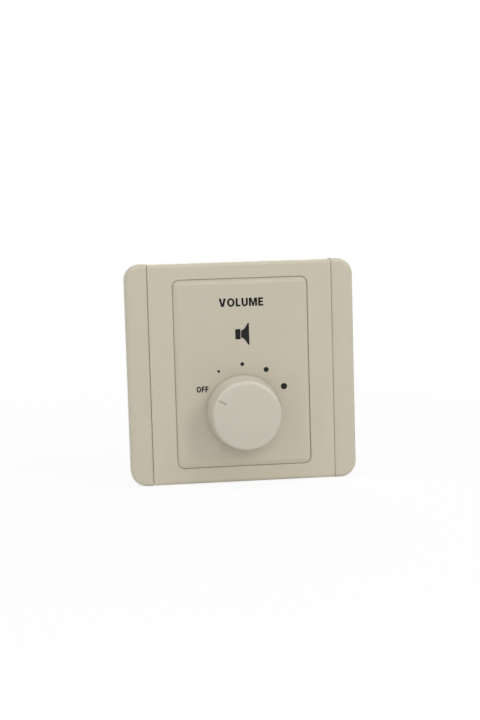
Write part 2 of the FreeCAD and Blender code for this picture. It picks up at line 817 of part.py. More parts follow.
def switch_spacers():
    """The two tubes between the wafer and the board."""
    bodies = [tube(spacer_radius, screw_hole, wafer_back, board_front, x, z) for x, z in ear_places]
    return Part.makeCompound(bodies)


def switch_screws():
    """The two long screws through the board, the spacers and the wafer into the ears."""
    bodies = []
    tip = wafer_front - screw_bite + clear_gap
    for x, z in ear_places:
        head = slotted_head(screw_head_radius, screw_head_height, board_back, x, z)
        bodies.append(head.fuse(rod(screw_radius, tip, board_back, x, z)).removeSplitter())
    return Part.makeCompound(bodies)


def terminal_places():
    """The x places of the terminal ways."""
    return [(k - (terminal_ways - 1) / 2) * terminal_pitch for k in range(terminal_ways)]


def lead_places():
    """The x places of the leads, the same as the bobbin pins'."""
    count = len(lead_names)
    return [(k - (count - 1) / 2) * bobbin_pin_pitch for k in range(count)]


def circuit_board():
    """The board behind the switch, with cut lower corners and a hole for every pin, screw and lead."""
    low = dial_z - board_below
    half = board_half_width
    cut = board_chamfer
    right_side = [(half, board_top), (half, low + cut), (half - cut, low)]
    left_side = [(cut - half, low), (-half, low + cut), (-half, board_top)]
    body = outline_prism(right_side + left_side, board_front, board_back)
    holes = [(x, z, screw_hole) for x, z in ear_places]
    holes += [(x, z, pin_hole) for x, z in pin_places()]
    holes += [(x, terminal_z, pin_hole) for x in terminal_places()]
    holes += [(x, lead_hole_z, lead_radius + touch_gap) for x in lead_places()]
    for x, z, radius in holes:
        body = body.cut(rod(radius, board_front - past, board_back + past, x, z))
    return body


def solder_joints():
    """A small cone of solder round each switch pin on the back of the board."""
    bodies = []
    for x, z in pin_places():
        foot = V(x, board_back, z)
        cone = Part.makeCone(solder_radius, solder_tip_radius, solder_height, foot, V(0, 1, 0))
        bodies.append(cone.cut(rod(pin_radius, board_back - past, board_back + solder_height + past, x, z)))
    return Part.makeCompound(bodies)


def terminal_block():
    """The screw terminal housing: a pocket for each clamp, a screw hole behind and a wire hole below."""
    half_width = terminal_ways * terminal_pitch / 2
    bottom = terminal_z - terminal_height / 2
    top = terminal_z + terminal_height / 2
    back = board_back + terminal_length
    body = block(-half_width, half_width, board_back, back, bottom, top)
    body = body.makeChamfer(terminal_bevel, edges_along(edges_at_depth(body, back), V(1, 0, 0)))
    pocket_x = clamp_width / 2 + slip_gap
    low = terminal_z - clamp_height / 2 - slip_gap
    high = terminal_z + clamp_height / 2 + slip_gap
    pocket_back = back - clamp_roof
    wire_y = pocket_back - clamp_length + wire_set_back
    for x in terminal_places():
        body = body.cut(block(x - pocket_x, x + pocket_x, board_back - past, pocket_back, low, high))
        body = body.cut(rod(terminal_screw_head + slip_gap, board_back, back + past, x, terminal_z))
        entry = V(x, wire_y, bottom - past)
        body = body.cut(Part.makeCylinder(wire_radius, terminal_height / 2 + past, entry))
    return body


def terminal_clamps():
    """The metal cages in the pockets, each with a wire hole, a screw hole and a pin into the board."""
    bodies = []
    y1 = board_back + terminal_length - clamp_roof - slip_gap
    y0 = y1 - clamp_length
    half = clamp_width / 2
    low = terminal_z - clamp_height / 2
    high = terminal_z + clamp_height / 2
    wire_y = y0 + wire_set_back + slip_gap
    for x in terminal_places():
        body = block(x - half, x + half, y0, y1, low, high)
        entry = V(x, wire_y, low - past)
        body = body.cut(Part.makeCylinder(wire_radius - slip_gap, 2 * clamp_height, entry))
        body = body.cut(rod(terminal_screw_radius + touch_gap, y0 + wire_set_back, y1 + past, x, terminal_z))
        pin = rod(pin_radius, board_front - pin_stub, y0, x, terminal_z)
        bodies.append(body.fuse(pin).removeSplitter())
    return Part.makeCompound(bodies)


def terminal_screws():
    """The slotted screws of the terminals."""
    bodies = []
    back = board_back + terminal_length - terminal_screw_sunk
    head_front = back - terminal_screw_head_height
    tip = head_front - clamp_length / 2
    for x in terminal_places():
        head = slotted_head(terminal_screw_head, terminal_screw_head_height, head_front, x, terminal_z)
        thread = rod(terminal_screw_radius, tip, head_front, x, terminal_z)
        bodies.append(head.fuse(thread).removeSplitter())
    return Part.makeCompound(bodies)


def transformer_core():
    """The stack of iron sheets with two windows, a centre leg and four corner holes."""
    low = core_z - core_stack_height / 2
    high = core_z + core_stack_height / 2
    body = block(-core_half_width, core_half_width, floor_back, core_back, low, high)
    for side in (-1, 1):
        x0, x1 = sorted((side * core_leg_width, side * 2 * core_leg_width))
        body = body.cut(block(x0, x1, window_front, window_back, low - past, high + past))
        for y in (floor_back + core_leg_width / 2, core_back - core_leg_width / 2):
            place = V(side * (core_half_width - core_leg_width / 2), y, low - past)
            body = body.cut(Part.makeCylinder(core_hole_radius, core_stack_height + 2 * past, place))
    return body


def transformer_bobbin():
    """The moulded former round the centre leg, with a flange at each end and a rail for the pins."""
    y0 = window_front + bobbin_gap
    y1 = window_back - bobbin_gap
    hole_width = core_leg_width + bobbin_gap
    hole_height = core_stack_height / 2 + bobbin_gap
    half = bobbin_flange_height / 2
    corner = bobbin_wall
    body = wound_frame(tube_half_width, tube_half_height, corner, y0, y1, hole_width, hole_height)
    for front, back in ((y0, coil_front), (coil_back, y1)):
        flange = wound_frame(flange_half_width, half, corner, front, back, hole_width, hole_height)
        body = body.fuse(flange)
    low = rail_top - rail_height
    rail = block(-flange_half_width, flange_half_width, coil_back, rail_back, low, rail_top)
    body = body.fuse(rail)
    for x in lead_places():
        body = body.cut(rod(pin_radius, rail_back - bobbin_pin_root, rail_back + past, x, rail_pin_z))
    return body.removeSplitter()


def bobbin_pins():
    """The pins in the bobbin's rail."""
    y0 = rail_back - bobbin_pin_root
    y1 = rail_back + bobbin_pin_length
    return Part.makeCompound([rod(pin_radius, y0, y1, x, rail_pin_z) for x in lead_places()])


def winding():
    """The copper winding between the bobbin's flanges."""
    half_width = coil_half_width - tape_thickness
    half_height = coil_half_height - tape_thickness
    y0 = coil_front + touch_gap
    y1 = coil_back - touch_gap
    hole_width = tube_half_width + touch_gap
    hole_height = tube_half_height + touch_gap
    return wound_frame(half_width, half_height, winding_round, y0, y1, hole_width, hole_height)


def winding_tape():
    """The tape wrapped round the winding."""
    y0 = coil_front + touch_gap
    y1 = coil_back - touch_gap
    corner = winding_round + tape_thickness
    body = slab(2 * coil_half_width, 2 * coil_half_height, corner, y0, y1, 0, core_z)
    inner_width = 2 * (coil_half_width - tape_thickness)
    inner_height = 2 * (coil_half_height - tape_thickness)
    return body.cut(slab(inner_width, inner_height, winding_round, y0 - past, y1 + past, 0, core_z))


def transformer_strap():
    """The steel strap over the core, with a foot at each side on the plate's floor."""
    low = core_z - strap_width / 2
    high = core_z + strap_width / 2
    outer = strap_half_width + strap_sheet
    back = core_back + touch_gap
    body = block(-outer, outer, floor_back, back + strap_sheet, low, high)
    rear = edges_at_depth(body, back + strap_sheet)
    body = body.makeFillet(strap_bend, edges_along(rear, V(0, 0, 1)))
    inside_x = strap_half_width
    body = body.cut(block(-inside_x, inside_x, floor_back - past, back, low - past, high + past))
    foot_back = floor_back + strap_sheet
    for side in (-1, 1):
        x0, x1 = sorted((side * (outer - tiny), side * (strap_half_width + strap_foot)))
        body = body.fuse(block(x0, x1, floor_back, foot_back, low, high))
        body = body.cut(rod(rivet_radius, floor_back - past, foot_back + past, side * rivet_x, core_z))
    return body.removeSplitter()


def strap_rivets():
    """The rivets that hold the strap's feet on the plate."""
    bodies = []
    behind = floor_back + strap_sheet
    for x in (-rivet_x, rivet_x):
        body = rod(rivet_radius, floor_front, behind, x, core_z)
        body = body.fuse(rod(rivet_head_radius, floor_front - rivet_head_height, floor_front, x, core_z))
        body = body.fuse(rod(rivet_head_radius, behind, behind + rivet_head_height, x, core_z))
        bodies.append(body.removeSplitter())
    return Part.makeCompound(bodies)


def lead(x):
    """One insulated wire: out from a bobbin pin, round in a half circle and into the board."""
    start = rail_back + bobbin_pin_length
    turn_y = start + lead_straight
    radius = (rail_pin_z - lead_hole_z) / 2
    middle = rail_pin_z - radius
    top = V(x, turn_y, rail_pin_z)
    low = V(x, turn_y, lead_hole_z)
    path = Part.Wire([
        Part.makeLine(V(x, start, rail_pin_z), top),
        Part.Arc(top, V(x, turn_y + radius, middle), low).toShape(),
        Part.makeLine(low, V(x, board_back - lead_end, lead_hole_z)),
    ])
    section = Part.Wire(Part.makeCircle(lead_radius, V(x, start, rail_pin_z), V(0, 1, 0)))
    return path.makePipeShell([section], True, True)


def all_pieces():
    """Every piece by name."""
    pieces = {
        "cover_frame": cover_frame(),
        "side_trim_left": side_trim(-1),
        "side_trim_right": side_trim(1),
        "centre_plate": centre_plate(),
        "centre_washer": centre_washer(),
        "centre_nut": centre_nut(),
        "knob": knob(),
        "knob_clip": knob_clip(),
        "mounting_plate": mounting_plate(),
        "switch_housing": switch_housing(),
        "switch_lock_washer": switch_lock_washer(),
        "switch_nut": switch_nut(),
        "switch_shaft": switch_shaft(),
        "shaft_clip": shaft_clip(),
        "detent_wheel": detent_wheel(),
        "detent_spring": detent_spring(),
        "rotor": rotor(),
        "rotor_contact": rotor_contact(),
        "stator_wafer": stator_wafer(),
        "stator_contacts": stator_contacts(),
        "switch_spacers": switch_spacers(),
        "switch_screws": switch_screws(),
        "circuit_board": circuit_board(),
        "solder_joints": solder_joints(),
        "terminal_block": terminal_block(),
        "terminal_clamps": terminal_clamps(),
        "terminal_screws": terminal_screws(),
        "transformer_core": transformer_core(),
        "transformer_bobbin": transformer_bobbin(),
        "bobbin_pins": bobbin_pins(),
        "winding": winding(),
        "winding_tape": winding_tape(),
        "transformer_strap": transformer_strap(),
        "strap_rivets": strap_rivets(),
    }
    for name, x in zip(lead_names, lead_places()):
        pieces[name] = lead(x)
    return pieces


os.makedirs("parts", exist_ok=True)
for name, shape in all_pieces().items():
    shape.exportStep("parts/" + name + ".step")
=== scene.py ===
import bmesh
import bpy
import math
from mathutils import Matrix, Vector


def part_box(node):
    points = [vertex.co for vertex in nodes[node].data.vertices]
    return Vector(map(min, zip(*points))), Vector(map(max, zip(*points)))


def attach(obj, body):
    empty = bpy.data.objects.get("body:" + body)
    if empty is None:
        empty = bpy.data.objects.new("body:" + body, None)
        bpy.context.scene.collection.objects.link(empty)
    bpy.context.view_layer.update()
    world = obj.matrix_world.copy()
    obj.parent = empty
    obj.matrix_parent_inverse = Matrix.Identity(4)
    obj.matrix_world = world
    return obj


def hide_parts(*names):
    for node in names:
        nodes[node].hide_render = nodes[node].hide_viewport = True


# Speaker volume control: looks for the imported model. Sizes are in millimetres until a mesh is made.
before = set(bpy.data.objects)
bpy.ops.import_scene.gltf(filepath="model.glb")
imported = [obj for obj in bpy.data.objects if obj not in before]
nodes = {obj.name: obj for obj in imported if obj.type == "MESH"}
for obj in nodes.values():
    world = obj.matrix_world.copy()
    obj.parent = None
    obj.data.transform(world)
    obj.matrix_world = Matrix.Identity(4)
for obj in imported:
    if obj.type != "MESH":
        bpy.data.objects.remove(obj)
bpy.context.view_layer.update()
MM = 0.001

# Sizes that the new pieces share with the solids; Y points to the wall
DIAL_Z = -14.5
FACE_Y = -8.0
FLOOR_Z = -41.27
KNOB_RADIUS = 13.8
KNOB_TAPER = 1.2
KNOB_BASE = -8.5
KNOB_FRONT = -20.5
KNOB_DOME = 0.7
KNOB_EDGE = 1.4
KNOB_ROOF = 2.2
KNOB_WALL = 1.7
HUB_RADIUS = 5.0
HUB_END = -12.2
SHAFT_BORE = 3.05
POINTER_ANGLE = 150.0
POINTER_HALF = 0.35
POINTER_DEPTH = 0.9
POINTER_START = 8.8
TURN_PITCH = 0.4


# ---------------------------------------------------------------- meshes

def add_piece(name, points, faces, body, material, sharp=32.0):
    """A mesh piece from points in millimetres, smooth but for edges sharper than an angle."""
    mesh = bpy.data.meshes.new(name)
    mesh.from_pydata([[c * MM for c in p] for p in points], [], faces)
    shape = bmesh.new()
    shape.from_mesh(mesh)
    bmesh.ops.remove_doubles(shape, verts=shape.verts, dist=1e-7)
    bmesh.ops.recalc_face_normals(shape, faces=shape.faces)
    shape.to_mesh(mesh)
    shape.free()
    mesh.shade_smooth()
    mesh.set_sharp_from_angle(angle=math.radians(sharp))
    piece = bpy.data.objects.new(name, mesh)
    bpy.context.scene.collection.objects.link(piece)
    mesh.materials.append(material)
    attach(piece, body)
    return piece


def bend(before, corner, after, radius, steps=6):
    """The points of a rounded corner in a flat outline."""
    b, c, a = Vector(before), Vector(corner), Vector(after)
    u, w = (b - c).normalized(), (a - c).normalized()
    half = u.angle(w) / 2
    reach = radius / math.tan(half)
    start, end = c + u * reach, c + w * reach
    centre = c + (u + w).normalized() * (radius / math.sin(half))
    first, last = start - centre, end - centre
    sweep = first.angle_signed(last)
    arc = []
    for k in range(steps + 1):
        turn = Matrix.Rotation(-sweep * k / steps, 2)
        arc.append(tuple(centre + turn @ first))
    return arc


def rounded(outline, closed=False, steps=6):
    """An outline of (a, b, radius) corners as (a, b) points, with its corners rounded."""
    points = []
    count = len(outline)
    for k, (a, b, radius) in enumerate(outline):
        inner = closed or 0 < k < count - 1
        if radius > 0 and inner:
            before, after = outline[k - 1][:2], outline[(k + 1) % count][:2]
            points += bend(before, (a, b), after, radius, steps)
        else:
            points.append((a, b))
    return points


def frame_ring(half_x, half_z, corner, y, steps=10, z0=0.0):
    """Points round a rounded rectangle at depth y."""
    ring = []
    for k, (sx, sz) in enumerate(((1, 1), (-1, 1), (-1, -1), (1, -1))):
        for j in range(steps + 1):
            turn = math.radians(90 * (k + j / steps))
            x = sx * (half_x - corner) + corner * math.cos(turn)
            z = sz * (half_z - corner) + corner * math.sin(turn)
            ring.append((x, y, z0 + z))
    return ring


def circle_ring(radius, y, steps=72):
    """Points round a circle about the dial's axis, at depth y."""
    turns = [2 * math.pi * k / steps for k in range(steps)]
    return [(radius * math.cos(t), y, DIAL_Z + radius * math.sin(t)) for t in turns]


class Shell:
    """Points and faces gathered ring by ring."""

    def __init__(self):
        self.points = []
        self.faces = []

    def ring(self, points):
        """New points, as a list of their numbers."""
        start = len(self.points)
        self.points += points
        return list(range(start, start + len(points)))

    def join(self, a, b):
        """A closed band of faces between two rings of as many points."""
        count = len(a)
        for k in range(count):
            n = (k + 1) % count
            self.faces.append((a[k], a[n], b[n], b[k]))

    def tube(self, rings):
        """Rings joined one after another."""
        rows = [self.ring(r) for r in rings]
        for a, b in zip(rows, rows[1:]):
            self.join(a, b)
        return rows

    def plate(self, outer, inner=()):
        """A flat face inside one ring and outside others, as triangles."""
        flat = bmesh.new()
        edges = []
        number = {}
        for ring in [outer, *inner]:
            made = [flat.verts.new(self.points[i]) for i in ring]
            number.update(zip(made, ring))
            edges += [flat.edges.new((v, made[k - 1])) for k, v in enumerate(made)]
        filled = bmesh.ops.triangle_fill(flat, use_beauty=True, edges=edges)
        for face in filled["geom"]:
            if isinstance(face, bmesh.types.BMFace):
                self.faces.append(tuple(number[v] for v in face.verts))
        flat.free()

    def box(self, low, high):
        """A plain block between two corners, for ribs inside a piece."""
        (x0, y0, z0), (x1, y1, z1) = low, high
        back = self.ring([(x0, y1, z0), (x1, y1, z0), (x1, y1, z1), (x0, y1, z1)])
        front = self.ring([(x0, y0, z0), (x1, y0, z0), (x1, y0, z1), (x0, y0, z1)])
        self.join(back, front)
        self.faces += [tuple(back), tuple(front)]


# ---------------------------------------------------------------- materials

# Most of a noise lies between the first two; a wave of scale 1 repeats in the third
NOISE_LOW, NOISE_HIGH = 0.3, 0.7
WAVE_TURN = math.pi / 10
ROUGH_SPREAD = 0.06
# Thickness of a core plate, and distance between the laminate's threads
CORE_PLATE = 0.5
WEAVE = 0.55


def add_node(tree, kind, inputs=(), **settings):
    """A new node with its inputs linked to sockets or set to values, by number or name."""
    made = tree.nodes.new(kind)
    for key, value in settings.items():
        setattr(made, key, value)
    for key, value in dict(inputs).items():
        if isinstance(value, bpy.types.NodeSocket):
            tree.links.new(value, made.inputs[key])
        else:
            made.inputs[key].default_value = value
    return made


class Finish:
    """A material whose colour, roughness and bump come from noise in the object's own space."""

    def __init__(self, name):
        self.material = bpy.data.materials.new(name)
        self.material.use_nodes = True
        self.tree = self.material.node_tree
        self.shader = self.tree.nodes["Principled BSDF"]
        self.place = self.node("ShaderNodeTexCoord").outputs["Object"]

    def node(self, kind, inputs=(), **settings):
        """A new node of this material."""
        return add_node(self.tree, kind, inputs, **settings)

    def noise(self, size, detail=3.0, stretch=None):
        """Noise with features of about a size in millimetres, stretched by three factors."""
        vector = self.place
        if stretch:
            vector = self.node("ShaderNodeMapping", {"Vector": vector, "Scale": stretch}).outputs[0]
        values = {"Vector": vector, "Scale": 1 / (size * MM), "Detail": detail}
        return self.node("ShaderNodeTexNoise", values).outputs["Fac"]

    def ramp(self, value, **limits):
        """A value from one range carried over to another."""
        named = {key.replace("_", " ").title(): limit for key, limit in limits.items()}
        return self.node("ShaderNodeMapRange", {"Value": value, **named}).outputs["Result"]

    def spread(self, value, low, high):
        """Noise, which keeps mostly to its middle, over a range of its own."""
        return self.ramp(value, from_min=NOISE_LOW, from_max=NOISE_HIGH, to_min=low, to_max=high)

    def mix(self, amount, first, second):
        """A mix of two colours by an amount."""
        made = self.node("ShaderNodeMix", {"Factor": amount}, data_type="RGBA")
        for key, value in (("A", first), ("B", second)):
            socket = [s for s in made.inputs if s.name == key and s.type == "RGBA"][0]
            if isinstance(value, bpy.types.NodeSocket):
                self.tree.links.new(value, socket)
            else:
                socket.default_value = (*value, 1)
        return [s for s in made.outputs if s.type == "RGBA"][0]

    def patches(self, size, detail, first, second):
        """Soft patches of two colours."""
        return self.mix(self.spread(self.noise(size, detail), 0, 1), first, second)

    def bands(self, axis, period):
        """Even waves along one axis, with a period in millimetres."""
        values = {"Vector": self.place, "Scale": WAVE_TURN / (period * MM), "Detail": 0.0}
        made = self.node("ShaderNodeTexWave", values, wave_type="BANDS", bands_direction=axis)
        return made.outputs["Fac"]

    def facing(self, axis, low, high):
        """From 0 to 1 as the surface's own normal turns towards an axis."""
        normal = self.node("ShaderNodeTexCoord").outputs["Normal"]
        parts = self.node("ShaderNodeSeparateXYZ", {0: normal})
        size = self.node("ShaderNodeMath", {0: parts.outputs[axis]}, operation="ABSOLUTE")
        return self.ramp(size.outputs[0], from_min=low, from_max=high)

    def bump(self, height, depth, normal=None):
        """Relief of a depth in millimetres from a 0 to 1 height, over another relief."""
        values = {"Height": height, "Strength": 1.0, "Distance": depth * MM}
        if normal:
            values["Normal"] = normal
        return self.node("ShaderNodeBump", values).outputs["Normal"]

    def done(self, colour, normal, rough, metal=0.0, coat=0.0, gloss=0.5):
        """The material, with its roughness as (middle, spread, patch size)."""
        middle, spread, size = rough
        varied = self.spread(self.noise(size), middle - spread, middle + spread)
        for key, socket in (("Base Color", colour), ("Roughness", varied), ("Normal", normal)):
            self.tree.links.new(socket, self.shader.inputs[key])
        same = {"Metallic": metal, "Coat Weight": coat, "Specular IOR Level": gloss}
        for key, value in same.items():
            self.shader.inputs[key].default_value = value
        return self.material


def shades(colour, amount):
    """A colour a little darker and a little lighter."""
    return [c * (1 - amount) for c in colour], [min(1.0, c * (1 + amount)) for c in colour]


def plain_finish(name, colour, change=0.03, patch=6.0, rough=0.45, grain=0.25, depth=0.004,
                 stretch=None, **values):
    """A moulded, cast, plated or drawn surface: soft patches of colour over a fine grain."""
    finish = Finish(name)
    dark, light = shades(colour, change)
    body = finish.mix(finish.spread(finish.noise(patch, 4.0, stretch), 0, 1), dark, light)
    fine = finish.bump(finish.noise(grain, 2.0, stretch), depth)
    relief = finish.bump(finish.noise(patch, 2.0, stretch), depth * 4, fine)
    return finish.done(body, relief, (rough, ROUGH_SPREAD, patch / 2), **values)


def core_finish(name):
    """Varnished core plates: a fine line for each plate round the stack's sides."""
    finish = Finish(name)
    lines = finish.bands("Z", CORE_PLATE)
    body = finish.patches(2.5, 4.0, (0.085, 0.080, 0.078), (0.150, 0.138, 0.128))
    rust = finish.spread(finish.noise(1.1, 5.0), -1.6, 1.0)
    body = finish.mix(rust, body, (0.145, 0.100, 0.070))
    body = finish.mix(lines, (0.030, 0.028, 0.028), body)
    fine = finish.bump(finish.noise(0.3, 3.0), 0.008)
    return finish.done(body, finish.bump(lines, 0.05, fine), (0.46, 0.10, 1.5), metal=0.7)


def tape_finish(name):
    """Yellow film tape, pulled tight so that the turns below show as faint ridges."""
    finish = Finish(name)
    turns = finish.bands("Y", TURN_PITCH)
    body = finish.patches(4.0, 3.0, (0.72, 0.47, 0.055), (0.84, 0.60, 0.100))
    body = finish.mix(finish.ramp(turns, to_max=0.16), body, (0.55, 0.30, 0.05))
    waves = finish.bump(finish.noise(2.6, 2.0, (1, 0.25, 1)), 0.05)
    return finish.done(body, finish.bump(turns, 0.014, waves), (0.24, 0.06, 2.0), coat=0.35)


def board_finish(name):
    """Green resist over a woven laminate, with bare laminate on the cut edges."""
    finish = Finish(name)
    green = finish.patches(1.8, 4.0, (0.012, 0.105, 0.042), (0.020, 0.145, 0.060))
    threads = {0: finish.bands("X", WEAVE), 1: finish.bands("Z", WEAVE)}
    weave = finish.node("ShaderNodeMath", threads, operation="MULTIPLY").outputs[0]
    green = finish.mix(finish.ramp(weave, to_max=0.25), green, (0.030, 0.180, 0.080))
    edge = finish.patches(0.6, 3.0, (0.42, 0.36, 0.20), (0.52, 0.46, 0.28))
    body = finish.mix(finish.facing("Y", 0.5, 0.8), edge, green)
    return finish.done(body, finish.bump(weave, 0.006), (0.34, 0.08, 1.5), coat=0.25)


def from_screen(red, green, blue):
    """A colour given as 0 to 255 screen values, as a shader wants it."""
    def one(v):
        v = v / 255
        return v / 12.92 if v <= 0.04045 else ((v + 0.055) / 1.055) ** 2.4
    return one(red), one(green), one(blue)


slot_of = {name: thing.data.materials[0].name for name, thing in nodes.items()}
for packed in bpy.data.materials:
    packed.name = "packed_" + packed.name

PLAIN_FINISHES = {
    "cover_plastic": dict(colour=from_screen(195, 188, 169), change=0.012, patch=14.0, gloss=0.3),
    "trim_plastic": dict(colour=from_screen(194, 187, 169), change=0.012, patch=12.0, gloss=0.3),
    "insert_plastic": dict(colour=from_screen(193, 186, 169), change=0.012, patch=12.0, gloss=0.3),
    "knob_plastic": dict(colour=from_screen(193, 187, 173), change=0.012, patch=9.0, rough=0.34,
                         coat=0.3),
    "plate_steel": dict(colour=(0.60, 0.61, 0.62), change=0.10, patch=3.0, rough=0.36, grain=0.5,
                        depth=0.003, metal=1.0),
    "die_cast": dict(colour=(0.46, 0.46, 0.47), change=0.12, patch=2.2, rough=0.48, grain=0.3,
                     depth=0.010, metal=1.0),
    "plated_steel": dict(colour=(0.66, 0.65, 0.62), change=0.06, patch=2.0, rough=0.28, grain=0.2,
                         depth=0.002, metal=1.0),
    "shaft_metal": dict(colour=(0.70, 0.70, 0.69), change=0.05, patch=1.5, rough=0.25, grain=0.12,
                        depth=0.002, metal=1.0, stretch=(1, 12, 1)),
    "spring_steel": dict(colour=(0.45, 0.46, 0.48), change=0.08, patch=1.5, rough=0.30, grain=0.15,
                         depth=0.001, metal=1.0, stretch=(0.15, 1, 1)),
    "black_plastic": dict(colour=(0.022, 0.022, 0.024), change=0.25, patch=4.0, rough=0.42,
                          grain=0.2, depth=0.006),
    "white_plastic": dict(colour=(0.76, 0.75, 0.70), change=0.04, patch=4.0, rough=0.38),
    "silvered_brass": dict(colour=(0.80, 0.76, 0.66), change=0.10, patch=1.2, rough=0.28,
                           grain=0.15, depth=0.002, metal=1.0),
    "laminate": dict(colour=(0.23, 0.105, 0.042), change=0.22, patch=1.6, rough=0.45, grain=0.12,
                     depth=0.006, stretch=(0.3, 1, 1)),
    "solder": dict(colour=(0.70, 0.70, 0.71), change=0.08, patch=0.8, rough=0.30, grain=0.2,
                   depth=0.01, metal=1.0),
    "terminal_plastic": dict(colour=(0.030, 0.21, 0.085), change=0.08, patch=4.0, rough=0.40),
    "copper": dict(colour=(0.62, 0.24, 0.10), change=0.18, patch=0.5, rough=0.30, grain=0.15,
                   depth=0.02, metal=1.0, stretch=(0.1, 1, 0.1)),
    "pvc_black": dict(colour=(0.018, 0.018, 0.020), change=0.2, patch=2.0, rough=0.38),
    "pvc_white": dict(colour=(0.74, 0.73, 0.70), change=0.04, patch=2.0, rough=0.38),
    "pvc_yellow": dict(colour=(0.72, 0.52, 0.04), change=0.05, patch=2.0, rough=0.38),
    "pvc_blue": dict(colour=(0.035, 0.12, 0.42), change=0.06, patch=2.0, rough=0.38),
    "pvc_red": dict(colour=(0.50, 0.025, 0.020), change=0.06, patch=2.0, rough=0.38),
    "track_green": dict(colour=(0.035, 0.21, 0.075), change=0.10, patch=1.2, rough=0.30, grain=0.2,
                        coat=0.25),
    "ink": dict(colour=(0.008, 0.008, 0.0075), change=0.2, patch=1.0, rough=0.6, grain=0.1,
                depth=0.002, gloss=0.2),
}
finishes = {name: plain_finish(name, **values) for name, values in PLAIN_FINISHES.items()}
finishes["core_steel"] = core_finish("core_steel")
finishes["tape"] = tape_finish("tape")
finishes["board_laminate"] = board_finish("board_laminate")

for name, thing in nodes.items():
    for holder in thing.material_slots:
        holder.material = finishes[slot_of[name]]


# ---------------------------------------------------------------- softened edges

WELD_REACH = 0.002
EDGE_ANGLE = 35.0
EDGE_STEPS = 2


def soften(name, width):
    """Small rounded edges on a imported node, of a width in millimetres."""
    weld = nodes[name].modifiers.new("weld", "WELD")
    weld.merge_threshold = WELD_REACH * MM
    edge = nodes[name].modifiers.new("edge", "BEVEL")
    edge.width = width * MM
    edge.segments = EDGE_STEPS
    edge.limit_method = "ANGLE"
    edge.angle_limit = math.radians(EDGE_ANGLE)
    edge.harden_normals = True


EDGES = {
    "cover_frame": 0.2, "side_trim_left": 0.25, "side_trim_right": 0.25, "mounting_plate": 0.15,
    "switch_housing": 0.2, "circuit_board": 0.08, "terminal_block": 0.2, "terminal_screws": 0.08,
    "terminal_clamps": 0.06, "switch_screws": 0.1, "switch_spacers": 0.08, "stator_wafer": 0.08,
    "transformer_core": 0.1, "transformer_bobbin": 0.12, "transformer_strap": 0.12,
    "strap_rivets": 0.12,
}
for name, width in EDGES.items():
    soften(name, width)


# ---------------------------------------------------------------- knob

KNOB_RIM = KNOB_RADIUS - KNOB_TAPER
KNOB_BASE_ROUND = 0.25
DOME_STEPS = 12
KNOB_COLUMNS = 120
# Points lie at these distances from the groove's middle and from its start; nearer to the
# axis than the closing radius the columns draw together
GROOVE_BLUR = 0.05
GROOVE_RISE = 0.12
GROOVE_COLUMNS = (0.0, 0.15, 0.30, 0.34, 0.38, 0.42, 0.5, 0.6, 0.8)
GROOVE_ROWS = (-0.1, 0.0, 0.04, 0.08, 0.12, 0.2)
GROOVE_CLOSING = 1.6


def dome_y(r):
    """The depth of the knob's domed front at a radius."""
    sphere = (KNOB_RIM**2 + KNOB_DOME**2) / (2 * KNOB_DOME)
    return KNOB_FRONT + sphere - math.sqrt(sphere**2 - r**2)


def knob_outline():
    """The knob's outside as (radius, y) points, from the middle of its front to its base."""
    inner = KNOB_RIM - KNOB_EDGE
    radii = [inner * k / DOME_STEPS for k in range(1, DOME_STEPS + 1)]
    dome = [(r, dome_y(r)) for r in radii]
    edge = rounded([
        (*dome[-1], 0), (KNOB_RIM, KNOB_FRONT + KNOB_DOME, KNOB_EDGE),
        (KNOB_RADIUS, KNOB_BASE, KNOB_BASE_ROUND), (KNOB_RADIUS - 1, KNOB_BASE, 0),
    ], steps=12)
    outside = dome + edge[1:] + [(r, dome_y(r)) for r in (POINTER_START + d for d in GROOVE_ROWS)]
    domed = KNOB_FRONT + KNOB_DOME * 0.75
    return sorted(p for p in outside if p[1] < domed) + [p for p in outside if p[1] >= domed]


def groove(u, r):
    """How deep the pointer groove is, 0 to 1, at a distance from its middle and a radius."""
    across = min(1.0, max(0.0, (POINTER_HALF + GROOVE_BLUR - abs(u)) / (2 * GROOVE_BLUR)))
    along = min(1.0, max(0.0, (r - POINTER_START) / GROOVE_RISE))
    both = min(across, along)
    return both * both * (3 - 2 * both)


def knob_ring(r, y):
    """Points round the knob, close together across the groove and sunk in it."""
    scale = min(1.0, r / GROOVE_CLOSING)
    columns = [-u for u in GROOVE_COLUMNS[:0:-1]] + list(GROOVE_COLUMNS)
    edge = math.asin(min(1.0, columns[-1] * scale / r))
    sweep = 2 * math.pi - 2 * edge
    ring = [(edge + sweep * k / KNOB_COLUMNS, 0.0) for k in range(KNOB_COLUMNS + 1)]
    for u in columns[1:-1]:
        ring.append((math.asin(u * scale / r), groove(u, r) if scale == 1.0 else 0.0))
    turn = math.radians(POINTER_ANGLE)
    sink = max(0.0, KNOB_FRONT + POINTER_DEPTH - y)
    return [(r * math.cos(turn + a), y + sink * cut, DIAL_Z + r * math.sin(turn + a))
            for a, cut in ring]


